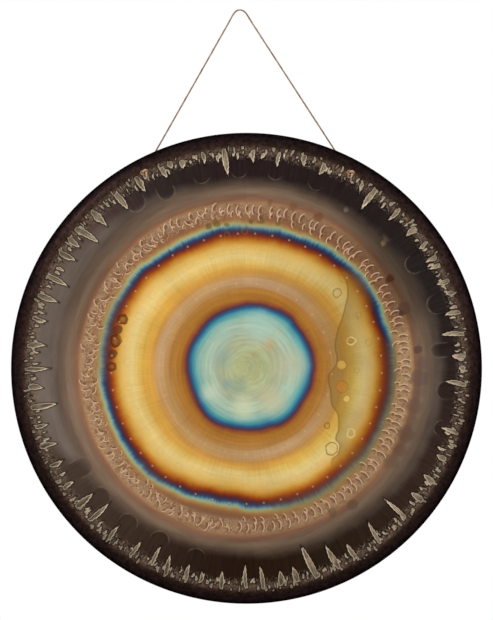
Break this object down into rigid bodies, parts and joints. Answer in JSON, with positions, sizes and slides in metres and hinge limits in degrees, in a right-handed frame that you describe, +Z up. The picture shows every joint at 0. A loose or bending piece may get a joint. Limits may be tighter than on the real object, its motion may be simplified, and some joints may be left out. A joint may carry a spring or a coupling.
{
  "type": "symphonic gong",
  "caption": "Flat hammered gong with a turned-back rim, hung on a knotted cord that passes through two holes near the rim.",
  "frame": {"origin": "the hang point: the underside of the cord at the top of its loop, where the hook or pin carries it", "axes": "+Z up, +Y from the gong's face towards its open back, +X to the right as one faces the gong"},
  "size_m": [0.7108, 0.1295, 0.9025],
  "materials": {
    "gong_metal": "hammered and heat-coloured bronze or nickel silver, satin centre, dark scaled rim",
    "cord": "thin twisted cord, tan to orange-brown"
  },
  "bodies": {
    "cord": {"hanging_cord": "cord"},
    "gong": {"gong_plate": "gong_metal", "cord_end_left": "cord", "cord_end_right": "cord", "knot_left": "cord", "knot_right": "cord"}
  },
  "joints": [
    {"name": "gong_swing", "type": "hinge", "parent": "cord", "child": "gong", "pos_m": [0, 0, -0.22], "axis": [1, 0, 0], "range_deg": [-45, 120]}
  ]
}
